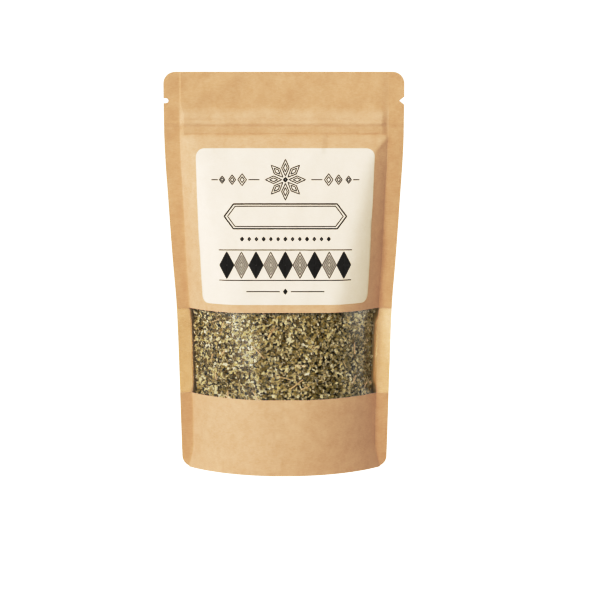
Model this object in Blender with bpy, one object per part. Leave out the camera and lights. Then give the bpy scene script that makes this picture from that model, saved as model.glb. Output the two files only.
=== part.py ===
"""A stand-up kraft paper pouch with a full-width clear window, filled with rubbed dried marjoram.

Metres, +Z up. The side seals lie in the plane y = 0, the front of the pouch faces -Y, and the
origin is on the table, midway between the bottom corners.

Every panel follows one shape between two flat side seals: a lens at the deep base, which turns
higher up into curved flanks under a flatter middle, and closes to a flat top. `half_gap` gives
that shape, and each sheet lies at its own distance outside it. The gusset, the zip tracks and
the herb lie inside it.
"""
import math
import random

import bmesh
import bpy

# The pouch
HEIGHT = 0.218
TOP_CORNER_RADIUS = 0.0063
BOTTOM_CORNER_RADIUS = 0.006
# Height, half width over the side seals, half depth between the panels, the half depth that the
# flanks would reach if the middle were not flatter, and the width of a seal as it is seen, which
# is less where the filled pouch bends it forward
STATIONS = (
    (0.000, 0.0567, 0.0248, 0.0250, 0.0068),
    (0.043, 0.0577, 0.0239, 0.0252, 0.0071),
    (0.089, 0.0591, 0.0213, 0.0275, 0.0074),
    (0.116, 0.0611, 0.0175, 0.0280, 0.0078),
    (0.146, 0.0631, 0.0121, 0.0260, 0.0083),
    (0.176, 0.0648, 0.0045, 0.0190, 0.0085),
    (0.184, 0.0650, 0.0012, 0.0150, 0.0085),
    (0.218, 0.0650, 0.0003, 0.0140, 0.0085),
)
FLANK_BLEND = 0.45  # how gradually the flatter middle turns into the flanks
SEAM_SOFTNESS = 0.045  # how much the bend beside a seal is rounded, as a share of the depth

# The sheets: how far their inner and outer faces lie outside `half_gap`
FILM_LAYER = (0.00015, 0.00035)
KRAFT_LAYER = (0.00055, 0.00080)
LABEL_LAYER = (0.00105, 0.00125)
BACK_LAYER = (0.00015, 0.00045)
SEAL_BEND = 0.002  # width of the bend on each side of a seal's inner line

# The window, closed by the film from one side edge to the other
WINDOW_BOTTOM = 0.0418
WINDOW_TOP = 0.0891

# The label
LABEL_WIDTH = 0.0970
LABEL_BOTTOM = 0.0934
LABEL_TOP = 0.1769
LABEL_RADIUS = 0.0045
LABEL_OFFSET = 0.0008
LABEL_RIM = 0.001  # least width of its outermost columns of facets
LABEL_INNER = 7  # columns of the panel's facets that it follows on each side of the middle

# The tear notches: a round-ended slot on the left, a V on the right
NOTCH_HEIGHT = 0.2025
NOTCH_DEPTH = 0.0026
SLOT_HALF_HEIGHT = 0.0013
VEE_HALF_HEIGHT = 0.0021

# Trimming of the panels' corners and notches
CUT_SPARE = 0.002  # how far a cut runs past the edge
CUT_DEPTH = 0.004  # how far it runs to the front and to the back
ARC_STEPS = 6

# The zip, across the pouch between the side seals
ZIP_BOTTOM = 0.1839
ZIP_TOP = 0.1976
ZIP_MIDDLE = 0.1915
ZIP_HALF_LENGTH = 0.0540
ZIP_ROOM = 0.00145  # half the space that the closed zip needs between the panels
ZIP_RAMP = 0.0015  # height over which a panel steps out to that space below the zip
ZIP_FADE = 0.0050  # height over which it comes back in above the zip
STRIP_FACE = 0.00130  # outer face of a track's flange strip
STRIP_BACK = 0.00105  # inner face of it

# The panels' facets: columns between the bends at the seals, and for the rows each stretch's
# upper end with the number of steps up to it
BODY_COLUMNS = 18
CROWDING = 0.25  # how much closer together those columns lie at the flanks
SHOULDER = 0.170  # above this the pouch closes fast towards the zip
ROW_STRETCHES = (
    (WINDOW_BOTTOM, 4),
    (WINDOW_TOP, 4),
    (SHOULDER, 7),
    (ZIP_BOTTOM - ZIP_RAMP, 2),
    (ZIP_BOTTOM, 1),
    (ZIP_TOP, 1),
    (ZIP_TOP + ZIP_FADE, 1),
    (HEIGHT, 2),
)

# The bottom gusset
GUSSET_HALF_LENGTH = 0.0485
GUSSET_THICKNESS = 0.00025
GUSSET_MIDDLE = 0.0220  # half length of the stretch whose belly lies on the table
GUSSET_APEX = 0.0340  # height of the fold at the side seals
HEM_MIDDLE = 0.0035  # height of the hem that is sealed to the panels, in the middle
HEM_END = 0.0290  # and beside the side seals
FLAT_SHARE = 0.45  # share of the depth that lies flat on the table, in the middle
FOLD_SHARE = 0.10  # share of the depth that the fold is wide, beside the side seals
FOLD_POWER = 1.7  # how late the fold rises towards the side seals
HEM_POWER = 3  # and how late the hem does
GUSSET_COLUMNS = 24
SPAN_STEPS = 4

# The herb
FILL_HEIGHT = 0.1380
HEAP_RISE = 0.0040  # how much higher the middle of the fill stands
HERB_MARGIN = 0.0015  # how far its ends stay from the seals' inner lines
HERB_GAP = 0.00040  # how far its highest flakes stay inside `half_gap`
FOLD_CLEARANCE = 0.0035  # how much more room it leaves over the gusset's folded ends
BED_CLEARANCE = 0.00045  # how far it stays above the gusset
BED_SHARES = (0.85, 0.7, 0.55, 0.3)  # shares of its half depth where its underside has points
HERB_COLUMNS = 48
WINDOW_REACH = 0.002  # how far the finer rows run on above and below the window
WINDOW_ROWS = 30
LOWER_ROWS = 12
UPPER_ROWS = 16
BACK_ROWS = 9
CROWN_STEPS = 6
CRUMB_DEPTH = 0.0020  # depth of the gaps between the flakes
BACK_CRUMB = 0.0004  # depth of them on the back, where nothing shows
FLAKES = 1650
FLAKE_LENGTH = (0.0022, 0.0036)  # half length, larger than life
FLAKE_WIDTH = (0.0016, 0.0024)  # half width
FLAKE_RISE = (0.2, 0.95)  # height of a flake, as shares of the gaps' depth
FLAKE_TILT = 0.30
SEED = 21

CLEARANCE = 0.0003
SLOPE_STEP = 0.0005  # distance over which a slope is taken
SHARE_STEP = 0.02  # and share of the gusset's half depth


# ---------------------------------------------------------------- shape of the pouch

def slopes(knots, values):
    """Slopes at the knots that keep a curve through them from overshooting."""
    rises = [(values[i + 1] - values[i]) / (knots[i + 1] - knots[i]) for i in range(len(knots) - 1)]
    inner = [
        2 * before * after / (before + after) if before * after > 0 else 0.0
        for before, after in zip(rises, rises[1:])
    ]
    return [rises[0]] + inner + [rises[-1]]


def station_curve(column):
    """A column of the stations, as a smooth function of the height."""
    heights = [station[0] for station in STATIONS]
    values = [station[column] for station in STATIONS]
    tangents = slopes(heights, values)

    def value_at(z):
        z = min(max(z, heights[0]), heights[-1])
        i = max(k for k in range(len(heights) - 1) if heights[k] <= z)
        span = heights[i + 1] - heights[i]
        t = (z - heights[i]) / span
        return (
            values[i] * (1 + 2 * t) * (1 - t) ** 2
            + span * tangents[i] * t * (1 - t) ** 2
            + values[i + 1] * t * t * (3 - 2 * t)
            + span * tangents[i + 1] * t * t * (t - 1)
        )

    return value_at


half_width = station_curve(1)
half_depth = station_curve(2)
flank_depth = station_curve(3)
seal_width = station_curve(4)


def half_chord(z):
    """Half the distance between the inner lines of the side seals."""
    return half_width(z) - seal_width(z)


def body_gap(x, z):
    """Half the space between the panels: an arc for the flanks, and a flatter middle under it."""
    depth, flank = half_depth(z), flank_depth(z)
    radius = (half_chord(z) ** 2 + flank**2) / (2 * flank)
    arc = math.sqrt(radius**2 - x**2) - (radius - flank)
    over = flank - depth
    blend = FLANK_BLEND * over
    bulge = (arc + depth - math.hypot(arc - depth, blend) + math.hypot(over, blend) - over) / 2
    return (bulge + math.hypot(bulge, SEAM_SOFTNESS * depth)) / 2


def zip_room(x, z):
    """Half the space the zip holds open: full over the tracks, and fading around them."""
    along = (half_chord(z) - abs(x)) / SEAL_BEND
    below = (z - ZIP_BOTTOM + ZIP_RAMP) / ZIP_RAMP
    above = (ZIP_TOP + ZIP_FADE - z) / ZIP_FADE
    return ZIP_ROOM * min(1.0, max(0.0, min(along, below, above)))


def half_gap(x, z):
    """Distance from the seam plane to the inner side of a panel."""
    return max(body_gap(x, z), zip_room(x, z))


def layer(x, z, distance):
    """Distance from the seam plane to a layer that lies `distance` outside `half_gap`."""
    slope_x = (half_gap(x + SLOPE_STEP, z) - half_gap(x - SLOPE_STEP, z)) / (2 * SLOPE_STEP)
    slope_z = (half_gap(x, z + SLOPE_STEP) - half_gap(x, z - SLOPE_STEP)) / (2 * SLOPE_STEP)
    return half_gap(x, z) + distance * math.sqrt(1 + slope_x**2 + slope_z**2)


# ---------------------------------------------------------------- meshes and materials

def make_object(name, points, faces):
    """A mesh object whose faces all point outwards."""
    mesh = bpy.data.meshes.new(name)
    mesh.from_pydata(points, [], faces)
    shape = bmesh.new()
    shape.from_mesh(mesh)
    bmesh.ops.recalc_face_normals(shape, faces=shape.faces)
    shape.to_mesh(mesh)
    shape.free()
    made = bpy.data.objects.new(name, mesh)
    bpy.context.collection.objects.link(made)
    return made


def closed_sheet(name, outer, inner):
    """A thin closed body between two matching grids of points."""
    rows, columns = len(outer), len(outer[0])
    points = [point for grid in (outer, inner) for row in grid for point in row]

    def index(side, row, column):
        return (side * rows + row) * columns + column

    faces = []
    for side in (0, 1):
        for row in range(rows - 1):
            for column in range(columns - 1):
                low, high = index(side, row, column), index(side, row + 1, column)
                faces.append((low, low + 1, high + 1))
                faces.append((low, high + 1, high))
    rim = [(0, column) for column in range(columns - 1)]
    rim += [(row, columns - 1) for row in range(rows - 1)]
    rim += [(rows - 1, column) for column in range(columns - 1, 0, -1)]
    rim += [(row, 0) for row in range(rows - 1, 0, -1)]
    for here, there in zip(rim, rim[1:] + rim[:1]):
        faces.append((index(0, *here), index(0, *there), index(1, *there)))
        faces.append((index(0, *here), index(1, *there), index(1, *here)))
    return make_object(name, points, faces)


def closed_tube(name, loops):
    """A closed body through matching loops of points, with a flat cap on its first and last loop."""
    count = len(loops[0])
    points = [point for loop in loops for point in loop]
    faces = [tuple(range(count)), tuple(range(len(points) - count, len(points)))]
    for ring in range(len(loops) - 1):
        for k in range(count):
            here, there = ring * count + k, ring * count + (k + 1) % count
            faces.append((here, there, there + count))
            faces.append((here, there + count, here + count))
    return make_object(name, points, faces)


def prism(name, outlines, half_length, axis):
    """Closed bodies from outlines, extruded both ways along an axis.

    An outline's points are (x, z) for axis "Y", and (y, z) for axis "X".
    """
    points, faces = [], []
    for outline in outlines:
        start, count = len(points), len(outline)
        for reach in (-half_length, half_length):
            for across, z in outline:
                points.append((across, reach, z) if axis == "Y" else (reach, across, z))
        faces.append(tuple(range(start, start + count)))
        faces.append(tuple(range(start + count, start + 2 * count)))
        for k in range(count):
            here, there = start + k, start + (k + 1) % count
            faces.append((here, there, there + count, here + count))
    return make_object(name, points, faces)


def give_material(target, colour, roughness, alpha=1.0):
    """Give an object its own Principled material, named after it."""
    material = bpy.data.materials.new(target.name)
    material.use_nodes = True
    surface = material.node_tree.nodes["Principled BSDF"]
    surface.inputs["Base Color"].default_value = (*colour, 1.0)
    surface.inputs["Roughness"].default_value = roughness
    surface.inputs["Metallic"].default_value = 0.0
    surface.inputs["Alpha"].default_value = alpha
    material.diffuse_color = (*colour, alpha)
    target.data.materials.append(material)


# ---------------------------------------------------------------- panels

def evenly(low, high, steps):
    return [low + (high - low) * k / steps for k in range(steps + 1)]


def panel_rows(low, high):
    """Heights of a panel's rows, alike on all panels so that their facets lie parallel."""
    heights = [0.0]
    for upper_end, steps in ROW_STRETCHES:
        heights += evenly(heights[-1], upper_end, steps)[1:]
    return [z for z in heights if low <= z <= high]


def body_columns(z):
    """Positions across a panel between the bends at its seals, closer together at the flanks."""
    reach = half_chord(z) - SEAL_BEND
    return [reach * ((1 + CROWDING) * t - CROWDING * t**3) for t in evenly(-1.0, 1.0, BODY_COLUMNS)]


def panel_columns(z):
    """Positions across a panel, from its left edge to its right edge."""
    chord, edge = half_chord(z), half_width(z)
    return [-edge, -chord - SEAL_BEND, -chord] + body_columns(z) + [chord, chord + SEAL_BEND, edge]


def panel(name, low, high, layers, side):
    """A panel between two heights; side is -1 for the front and 1 for the back."""
    grids = []
    for distance in reversed(layers):
        grids.append([
            [(x, side * layer(x, z, distance), z) for x in panel_columns(z)]
            for z in panel_rows(low, high)
        ])
    return closed_sheet(name, *grids)


def corner_waste(side, bottom):
    """Outline of what is cut away outside a rounded corner of the pouch."""
    radius = BOTTOM_CORNER_RADIUS if bottom else TOP_CORNER_RADIUS
    edge_z, inward = (0.0, 1) if bottom else (HEIGHT, -1)
    half = half_width(edge_z)
    middle_z = edge_z + inward * radius
    beyond_x, beyond_z = half + CUT_SPARE, edge_z - inward * CUT_SPARE
    outline = [(side * beyond_x, middle_z), (side * beyond_x, beyond_z)]
    outline.append((side * (half - radius), beyond_z))
    for angle in evenly(0.0, math.pi / 2, ARC_STEPS):
        x = half - radius + radius * math.sin(angle)
        outline.append((side * x, middle_z - inward * radius * math.cos(angle)))
    return outline


def slot_waste():
    """Outline of the round-ended tear notch in the left edge."""
    half = half_width(NOTCH_HEIGHT)
    middle_x = -(half - NOTCH_DEPTH + SLOT_HALF_HEIGHT)
    outline = [(-half - CUT_SPARE, NOTCH_HEIGHT + reach * SLOT_HALF_HEIGHT) for reach in (1, -1)]
    for angle in evenly(-math.pi / 2, math.pi / 2, ARC_STEPS):
        x = middle_x + SLOT_HALF_HEIGHT * math.cos(angle)
        outline.append((x, NOTCH_HEIGHT + SLOT_HALF_HEIGHT * math.sin(angle)))
    return outline


def vee_waste():
    """Outline of the V-shaped tear notch in the right edge, carried on past that edge."""
    half = half_width(NOTCH_HEIGHT)
    mouth = VEE_HALF_HEIGHT * (NOTCH_DEPTH + CUT_SPARE) / NOTCH_DEPTH
    return [
        (half - NOTCH_DEPTH, NOTCH_HEIGHT),
        (half + CUT_SPARE, NOTCH_HEIGHT - mouth),
        (half + CUT_SPARE, NOTCH_HEIGHT + mouth),
    ]


def make_trim_cutter():
    """What is punched out of the panels: four corners and two notches."""
    outlines = [corner_waste(side, bottom) for side in (-1, 1) for bottom in (False, True)]
    cutter = prism("trim_cutter", outlines + [slot_waste(), vee_waste()], CUT_DEPTH, "Y")
    cutter.hide_render = True
    cutter.display_type = "WIRE"
    return cutter


def trim(target, cutter):
    cut = target.modifiers.new("trim", "BOOLEAN")
    cut.operation = "DIFFERENCE"
    cut.solver = "EXACT"
    cut.object = cutter


def make_panels():
    """The two kraft parts and the film of the front, and the back panel."""
    cutter = make_trim_cutter()
    upper = panel("front_kraft_upper", WINDOW_TOP, HEIGHT, KRAFT_LAYER, -1)
    lower = panel("front_kraft_lower", 0.0, WINDOW_BOTTOM, KRAFT_LAYER, -1)
    film = panel("front_film", 0.0, HEIGHT, FILM_LAYER, -1)
    back = panel("back_panel", 0.0, HEIGHT, BACK_LAYER, 1)
    for kraft in (upper, lower, back):
        give_material(kraft, (0.66, 0.42, 0.20), 0.8)
    give_material(film, (0.9, 0.9, 0.88), 0.1, alpha=0.3)
    for sheet in (upper, lower, film, back):
        trim(sheet, cutter)


# ---------------------------------------------------------------- label

def place_along(length, z):
    """Position across, from a distance along the curved paper of the front."""
    x, walked = 0.0, 0.0
    while walked < abs(length):
        forward = layer(x + SLOPE_STEP, z, KRAFT_LAYER[1]) - layer(x, z, KRAFT_LAYER[1])
        piece = math.hypot(SLOPE_STEP, forward)
        x += SLOPE_STEP * min(1.0, (abs(length) - walked) / piece)
        walked += piece
    return math.copysign(x, length)


def label_grid(distance):
    """Points of the label at one layer distance; its width is measured along the curved paper.

    Between its edges it has the panel's own rows and columns, so that their facets lie parallel.
    """
    arc = evenly(0.0, math.pi / 2, 3)
    rounding = [(LABEL_RADIUS * (1 - math.sin(a)), LABEL_RADIUS * (1 - math.cos(a))) for a in arc]
    rows = [(LABEL_BOTTOM + rise, inset) for inset, rise in rounding]
    rows += [(z, 0.0) for z in panel_rows(rows[-1][0], LABEL_TOP - LABEL_RADIUS)]
    rows += [(LABEL_TOP - rise, inset) for inset, rise in reversed(rounding)]
    middle = BODY_COLUMNS // 2
    grid = []
    for z, inset in rows:
        half = LABEL_WIDTH / 2 - inset
        left, right = place_along(LABEL_OFFSET - half, z), place_along(LABEL_OFFSET + half, z)
        inner = body_columns(z)[middle - LABEL_INNER:middle + LABEL_INNER + 1]
        across = [min(max(x, left + LABEL_RIM), right - LABEL_RIM) for x in inner]
        grid.append([(x, -layer(x, z, distance), z) for x in [left] + across + [right]])
    return grid


def make_label():
    inner, outer = (label_grid(distance) for distance in LABEL_LAYER)
    label = closed_sheet("label", outer, inner)
    give_material(label, (0.90, 0.85, 0.74), 0.6)


# ---------------------------------------------------------------- zip

def make_zip():
    """The two press-together tracks, each a flange strip with its own profile, extruded along X."""
    wall, lip, tip, floor = 0.00130, 0.00095, 0.00055, 0.00035
    lip_back = 0.00005
    z = ZIP_MIDDLE
    channel = [
        (-STRIP_FACE, ZIP_BOTTOM), (-STRIP_BACK, ZIP_BOTTOM),
        (-STRIP_BACK, z - wall), (floor, z - wall), (floor, z - tip), (lip_back, z - tip),
        (lip_back, z - lip), (-STRIP_BACK, z - lip), (-STRIP_BACK, z + lip), (lip_back, z + lip),
        (lip_back, z + tip), (floor, z + tip), (floor, z + wall), (-STRIP_BACK, z + wall),
        (-STRIP_BACK, ZIP_TOP), (-STRIP_FACE, ZIP_TOP),
    ]
    stem, head, nose = 0.00025, 0.00065, 0.00045
    shoulder, point = -0.00025, -0.00075
    rib = [
        (STRIP_FACE, ZIP_BOTTOM), (STRIP_FACE, ZIP_TOP), (STRIP_BACK, ZIP_TOP),
        (STRIP_BACK, z + stem), (shoulder, z + stem), (shoulder, z + head), (point, z + nose),
        (point, z - nose), (shoulder, z - head), (shoulder, z - stem), (STRIP_BACK, z - stem),
        (STRIP_BACK, ZIP_BOTTOM),
    ]
    for name, profile in (("zip_track_front", channel), ("zip_track_back", rib)):
        track = prism(name, [profile], ZIP_HALF_LENGTH, "X")
        give_material(track, (0.80, 0.79, 0.75), 0.35)


# ---------------------------------------------------------------- gusset

def fold_share(x):
    """0 where the gusset lies on the table, and 1 where it is folded up between the seals."""
    reach = (abs(x) - GUSSET_MIDDLE) / (GUSSET_HALF_LENGTH - GUSSET_MIDDLE)
    return max(0.0, reach) ** FOLD_POWER


def fold_height(x):
    """Height of the gusset's middle line."""
    flat = GUSSET_THICKNESS / 2
    return flat + (GUSSET_APEX - flat) * fold_share(x)


def hem_height(x):
    """Height up to which the gusset is sealed to the panels."""
    return HEM_MIDDLE + (HEM_END - HEM_MIDDLE) * (abs(x) / GUSSET_HALF_LENGTH) ** HEM_POWER


def hem_depth(x, z):
    """Distance from the seam plane to the middle of the gusset's sheet, where it is sealed."""
    return layer(x, z, FILM_LAYER[0] - CLEARANCE - GUSSET_THICKNESS / 2)


def flat_share(x):
    """Share of the gusset's half depth, from its middle line outwards, that is level."""
    return FOLD_SHARE + (FLAT_SHARE - FOLD_SHARE) * (1 - min(1.0, fold_share(x)))


def span_height(x, share):
    """Height of the gusset at a share of its half depth: 0 in the middle, 1 at the hem."""
    middle, hem, flat = fold_height(x), hem_height(x), flat_share(x)
    rise = max(0.0, (share - flat) / (1 - flat)) ** (2 - min(1.0, fold_share(x)))
    return middle + (hem - middle) * rise


def gusset_path(x):
    """The gusset's cross-section at x, from the front hem's foot to the back hem's foot."""
    hem = hem_height(x)
    depth = hem_depth(x, hem)
    half = [(-hem_depth(x, z), z) for z in (0.0, hem / 2)]
    shares = evenly(1.0, flat_share(x), SPAN_STEPS)
    half += [(-depth * share, span_height(x, share)) for share in shares]
    back = [(-y, z) for y, z in reversed(half)]
    return [(x, y, z) for y, z in half + [(0.0, fold_height(x))] + back]


def unit_normal(grid, row, column):
    """Unit normal of a grid of points at one of them."""
    up = grid[min(row + 1, len(grid) - 1)][column]
    down = grid[max(row - 1, 0)][column]
    right = grid[row][min(column + 1, len(grid[0]) - 1)]
    left = grid[row][max(column - 1, 0)]
    a = [p - q for p, q in zip(up, down)]
    b = [p - q for p, q in zip(right, left)]
    normal = (a[1] * b[2] - a[2] * b[1], a[2] * b[0] - a[0] * b[2], a[0] * b[1] - a[1] * b[0])
    length = math.sqrt(sum(part * part for part in normal))
    return [part / length for part in normal]


def make_gusset():
    """The bottom sheet: a belly on the table, hems on the panels, and a fold at each side."""
    middle = [gusset_path(x) for x in evenly(-GUSSET_HALF_LENGTH, GUSSET_HALF_LENGTH, GUSSET_COLUMNS)]
    faces = []
    for side in (-0.5, 0.5):
        reach = side * GUSSET_THICKNESS
        faces.append([
            [
                tuple(p + reach * n for p, n in zip(point, unit_normal(middle, row, column)))
                for column, point in enumerate(path)
            ]
            for row, path in enumerate(middle)
        ])
    # The ends of the sheet are cut square, and its hems stand on the table.
    for grid in faces:
        for row, path in enumerate(grid):
            for column, (x, y, z) in enumerate(path):
                if row in (0, len(grid) - 1):
                    x = math.copysign(GUSSET_HALF_LENGTH, x)
                if column in (0, len(path) - 1):
                    z = 0.0
                path[column] = (x, y, z)
    gusset = closed_sheet("bottom_gusset", *faces)
    give_material(gusset, (0.60, 0.38, 0.18), 0.8)


# ---------------------------------------------------------------- herb

class Crumbs:
    """The flakes on the front of the herb, as a height over x and z."""

    def __init__(self, draw):
        self.flakes = []
        for _ in range(FLAKES):
            angle = draw.uniform(0, math.pi)
            flake_z = draw.uniform(0.0, FILL_HEIGHT + HEAP_RISE)
            self.flakes.append((
                draw.uniform(-1, 1) * half_chord(flake_z),
                flake_z,
                math.cos(angle),
                math.sin(angle),
                draw.uniform(*FLAKE_LENGTH),
                draw.uniform(*FLAKE_WIDTH),
                draw.uniform(*FLAKE_RISE) * CRUMB_DEPTH,
                draw.uniform(-FLAKE_TILT, FLAKE_TILT),
                draw.uniform(-FLAKE_TILT, FLAKE_TILT),
            ))

    def depth(self, x, z):
        """How far the surface lies below the tips of the highest flakes."""
        top = 0.0
        for flake_x, flake_z, cosine, sine, length, width, height, tilt_x, tilt_z in self.flakes:
            dx, dz = x - flake_x, z - flake_z
            if abs(dx) > length or abs(dz) > length:
                continue
            along, across = dx * cosine + dz * sine, dz * cosine - dx * sine
            if (along / length) ** 2 + (across / width) ** 2 < 1:
                top = max(top, height + tilt_x * dx + tilt_z * dz)
        return max(0.0, CRUMB_DEPTH - top)


def herb_wall(share, z, side, crumb):
    """A point of the herb's front or back, `crumb` below its highest flakes."""
    x = share * (half_chord(z) - HERB_MARGIN)
    room = layer(x, z, -HERB_GAP)
    return x, side * (room - min(crumb, room / 2)), z


def gusset_clearance(x, share):
    """How far above the gusset's middle surface the herb stays, more where that is steep."""
    depth = hem_depth(x, hem_height(x))
    rise = span_height(x, share + SHARE_STEP) - span_height(x, share - SHARE_STEP)
    slope_y = rise / (2 * SHARE_STEP * depth)
    slope_x = (fold_height(x + SLOPE_STEP) - fold_height(x - SLOPE_STEP)) / (2 * SLOPE_STEP)
    steep = math.sqrt(1 + slope_x**2 + slope_y**2)
    return BED_CLEARANCE * steep + FOLD_CLEARANCE * fold_share(x)


def herb_loop(share, crumbs, draw):
    """The herb's cross-section at a share of its half width: up the front, over, and back."""
    foot_x = share * (half_chord(0.0) - HERB_MARGIN)
    foot_z = hem_height(foot_x) + gusset_clearance(foot_x, 1.0)
    crown_z = FILL_HEIGHT + HEAP_RISE * (1 - share**2)
    lower = evenly(foot_z, WINDOW_BOTTOM - WINDOW_REACH, LOWER_ROWS)
    middle = evenly(lower[-1], WINDOW_TOP + WINDOW_REACH, WINDOW_ROWS)
    upper = evenly(middle[-1], crown_z, UPPER_ROWS)
    front = []
    for z in lower[:-1] + middle + upper[1:]:
        x = share * (half_chord(z) - HERB_MARGIN)
        front.append(herb_wall(share, z, -1, crumbs.depth(x, z)))
    back = [
        herb_wall(share, z, 1, draw.uniform(0.0, BACK_CRUMB))
        for z in evenly(crown_z, foot_z, BACK_ROWS)
    ]
    crown_x, crown_y, _ = front[-1]
    crown = [
        (crown_x, -crown_y * t, crown_z + draw.uniform(-1, 1) * CRUMB_DEPTH / 2)
        for t in evenly(-1.0, 1.0, CROWN_STEPS)[1:-1]
    ]
    room = abs(front[0][1])
    belly = [
        (foot_x, t * room, span_height(foot_x, abs(t)) + gusset_clearance(foot_x, abs(t)))
        for t in [*BED_SHARES, 0.0] + [-t for t in reversed(BED_SHARES)]
    ]
    return front + crown + back + belly


def make_herb():
    """The settled mass of leaf crumbs, with flakes in relief on the side that shows."""
    draw = random.Random(SEED)
    crumbs = Crumbs(draw)
    loops = [herb_loop(share, crumbs, draw) for share in evenly(-1.0, 1.0, HERB_COLUMNS)]
    herb = closed_tube("dried_marjoram", loops)
    give_material(herb, (0.20, 0.155, 0.075), 0.9)


# ---------------------------------------------------------------- the model

def clear_scene():
    for old in list(bpy.data.objects):
        bpy.data.objects.remove(old, do_unlink=True)


clear_scene()
make_panels()
make_label()
make_zip()
make_gusset()
make_herb()
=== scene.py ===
import math

import bpy
import numpy as np
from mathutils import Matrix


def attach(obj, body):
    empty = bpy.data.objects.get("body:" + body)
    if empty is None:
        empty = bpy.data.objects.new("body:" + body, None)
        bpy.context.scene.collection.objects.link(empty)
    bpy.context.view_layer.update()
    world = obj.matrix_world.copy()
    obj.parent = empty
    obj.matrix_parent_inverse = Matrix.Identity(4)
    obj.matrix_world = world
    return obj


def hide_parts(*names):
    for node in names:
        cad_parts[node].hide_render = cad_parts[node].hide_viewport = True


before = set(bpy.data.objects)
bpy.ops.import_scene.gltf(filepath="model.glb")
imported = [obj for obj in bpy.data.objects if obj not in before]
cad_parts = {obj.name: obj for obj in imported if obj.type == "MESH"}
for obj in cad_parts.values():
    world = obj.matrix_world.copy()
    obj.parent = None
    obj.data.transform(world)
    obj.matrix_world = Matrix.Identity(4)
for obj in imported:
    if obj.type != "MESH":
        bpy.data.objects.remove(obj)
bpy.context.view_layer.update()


# ---------------------------------------------------------------- back panel
# One sheet of kraft paper with a thin inner film, the whole back of the pouch. It is die-cut with
# rounded corners and two tear notches, and heat-sealed to the front in a strip along each side.

X, Z = 0, 2  # axes: across the pouch, and up


def mesh_points(piece):
    """The places of a piece's vertices, one in each row."""
    points = np.empty(len(piece.data.vertices) * 3)
    piece.data.vertices.foreach_get("co", points)
    return points.reshape(-1, 3)


def span(node, axis):
    """Lowest and highest place of one of the frame's solids along an axis, to the micrometre."""
    places = mesh_points(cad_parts[node])[:, axis]
    return round(float(places.min()), 6), round(float(places.max()), 6)


HEIGHT = span("back_panel", Z)[1]
HALF_WIDTH = span("back_panel", X)[1]
WINDOW_BOTTOM = span("front_kraft_lower", Z)[1]
WINDOW_TOP = span("front_kraft_upper", Z)[0]
CREASE, ZIP_TOP = span("zip_track_back", Z)  # the filled body ends where the zip's strips begin
TOP_CORNER_RADIUS = 0.0063
BOTTOM_CORNER_RADIUS = 0.006
# Heights in the body, with its half width over the seals, its half depth, the half depth that
# its curved flanks would reach if the front were not flattened, and the seals' width, which
# looks narrower where they bend forward
STATIONS = np.array((
    (0.000, 0.0567, 0.0248, 0.0250, 0.0036),
    (0.006, 0.0568, 0.0247, 0.0250, 0.0054),
    (0.013, 0.0570, 0.0246, 0.0250, 0.0068),
    (0.043, 0.0577, 0.0239, 0.0252, 0.0071),
    (0.089, 0.0591, 0.0213, 0.0275, 0.0074),
    (0.116, 0.0611, 0.0175, 0.0280, 0.0078),
    (0.146, 0.0631, 0.0121, 0.0260, 0.0083),
    (0.176, 0.0648, 0.0045, 0.0190, 0.0085),
    (CREASE, HALF_WIDTH, 0.0011, 0.0150, 0.0085),
))
# How gradually the flattened front turns into the flanks, up the body
BLEND_HEIGHTS = (0.05, 0.12, 0.17, CREASE)
BLEND_SHARES = (0.35, 0.30, 0.12, 0.06)
SEAM_SOFTNESS = 0.018  # how much the bend beside a seal is rounded, as a share of the depth
# Where only film closes the front, the two sheets cling together a little way past the seals
CLING_WIDTHS = (0.0022, 0.0085)  # at the left and the right seal
CLING_HEIGHT = 0.007
# Above the crease the sheets run nearly flat and take the relief of the closed zip between them
ZIP_RELIEF = np.array((
    (CREASE - 0.0016, 0.00000),
    (CREASE - 0.0004, 0.00078),
    (CREASE, 0.00084),
    (0.1843, 0.00088),
    (0.1851, 0.00112),
    (0.1862, 0.00120),
    (0.1882, 0.00126),
    (0.1889, 0.00142),
    (0.1896, 0.00180),
    (0.1902, 0.00200),
    (0.1907, 0.00202),
    (0.1915, 0.00170),
    (0.1921, 0.00158),
    (0.1931, 0.00162),
    (0.1950, 0.00122),
    (0.1972, 0.00084),
    (0.1988, 0.00058),
    (0.2005, 0.00046),
    (HEIGHT, 0.00034),
))
# Width over which that relief fades out beside a seal
SEAL_STEP_HEIGHTS = (0.1960, 0.2000)
SEAL_STEPS = ((0.0026, 0.0010), (0.0040, 0.0046))  # at the left and the right seal
# The zip runs on through the seals, crushed flat: what is left of its relief there
CRUSHED_ZIP = np.array((
    (0.1880, 0.00000),
    (0.1896, 0.00024),
    (0.1907, 0.00030),
    (0.1916, 0.00010),
    (0.1970, 0.00000),
))
# Both side seals bend forward where the pouch is full: slope of the left and right one
FIN_HEIGHTS = (0.000, 0.030, 0.060, 0.100, 0.150, 0.180)
FIN_LEFT = (-0.12, 0.14, 0.18, 0.14, 0.04, 0.00)
FIN_RIGHT = (0.02, 0.30, 0.70, 0.26, 0.05, 0.00)
FIN_SOFTNESS = 0.0012  # how gradually a seal bends out of the pouch's middle plane
TOP_BOW = 0.0045  # how far the top corners bend forward
TOP_BOW_START = 0.150  # height from which they do
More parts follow.
